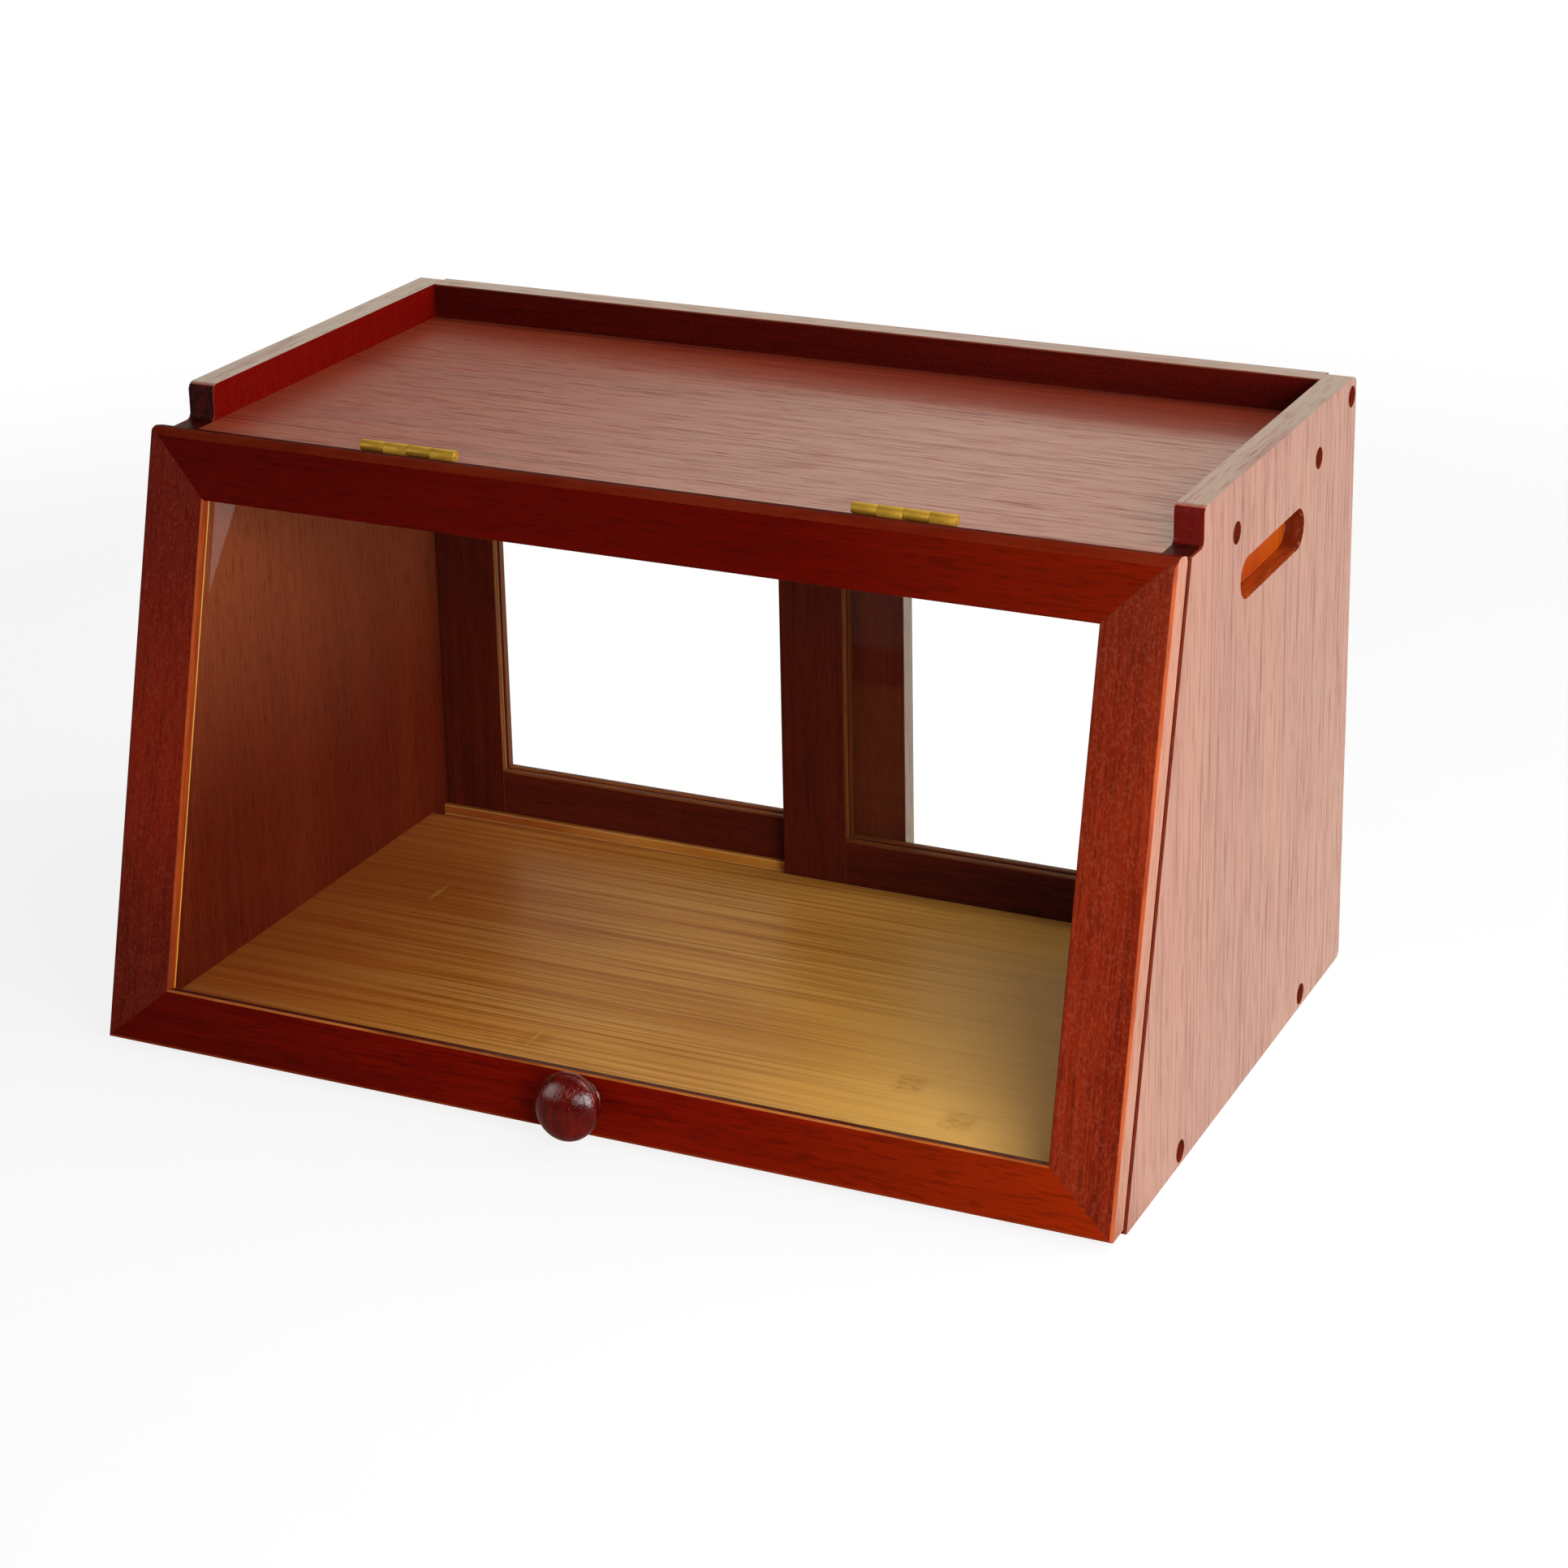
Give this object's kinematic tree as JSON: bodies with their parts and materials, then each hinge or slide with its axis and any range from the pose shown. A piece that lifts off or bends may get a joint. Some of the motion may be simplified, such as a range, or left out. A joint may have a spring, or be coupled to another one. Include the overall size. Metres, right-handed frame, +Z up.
{
  "type": "bread box",
  "caption": "Slant-front wooden bread box with a tray top, a framed clear lift-up flap in front, framed clear sliding doors at the back and handle recesses in the sides.",
  "frame": {"origin": "on the table under the middle of the box: midway between the sides, and midway between the knob's front and the rear edges", "axes": "+X to the right as seen from the front, +Y to the back, +Z up; the flap with its knob faces -Y"},
  "size_m": [0.39, 0.26, 0.23],
  "materials": {
    "stained_wood": "satin mahogany stain",
    "bamboo": "satin clear lacquer",
    "clear_pane": "clear, polished",
    "brass": "plated, slightly worn",
    "steel": "zinc plated",
    "lacquered_wood": "gloss dark red lacquer"
  },
  "bodies": {
    "carcass": {"left_side_panel": "stained_wood", "right_side_panel": "stained_wood", "top_board": "stained_wood", "floor_board": "bamboo", "back_rail": "stained_wood", "left_panel_screws": "steel", "right_panel_screws": "steel", "left_hinge_board_leaf": "brass", "right_hinge_board_leaf": "brass", "hinge_board_screws": "brass"},
    "flap": {"flap_top_rail": "stained_wood", "flap_bottom_rail": "stained_wood", "flap_left_stile": "stained_wood", "flap_right_stile": "stained_wood", "flap_pane": "clear_pane", "flap_knob": "lacquered_wood", "knob_screw": "steel", "left_hinge_flap_leaf": "brass", "left_hinge_pin": "brass", "right_hinge_flap_leaf": "brass", "right_hinge_pin": "brass", "hinge_flap_screws": "brass"},
    "left_slider": {"left_slider_top_rail": "stained_wood", "left_slider_bottom_rail": "stained_wood", "left_slider_left_stile": "stained_wood", "left_slider_right_stile": "stained_wood", "left_slider_pane": "clear_pane"},
    "right_slider": {"right_slider_top_rail": "stained_wood", "right_slider_bottom_rail": "stained_wood", "right_slider_left_stile": "stained_wood", "right_slider_right_stile": "stained_wood", "right_slider_pane": "clear_pane"}
  },
  "joints": [
    {"name": "flap_hinge", "type": "hinge", "parent": "carcass", "child": "flap", "pos_m": [0, -0.04936, 0.21941], "axis": [-1, 0, 0], "range_deg": [0, 168]},
    {"name": "left_slider_run", "type": "slide", "parent": "carcass", "child": "left_slider", "axis": [1, 0, 0], "range_m": [0, 0.159]},
    {"name": "right_slider_run", "type": "slide", "parent": "carcass", "child": "right_slider", "axis": [-1, 0, 0], "range_m": [0, 0.159]}
  ]
}
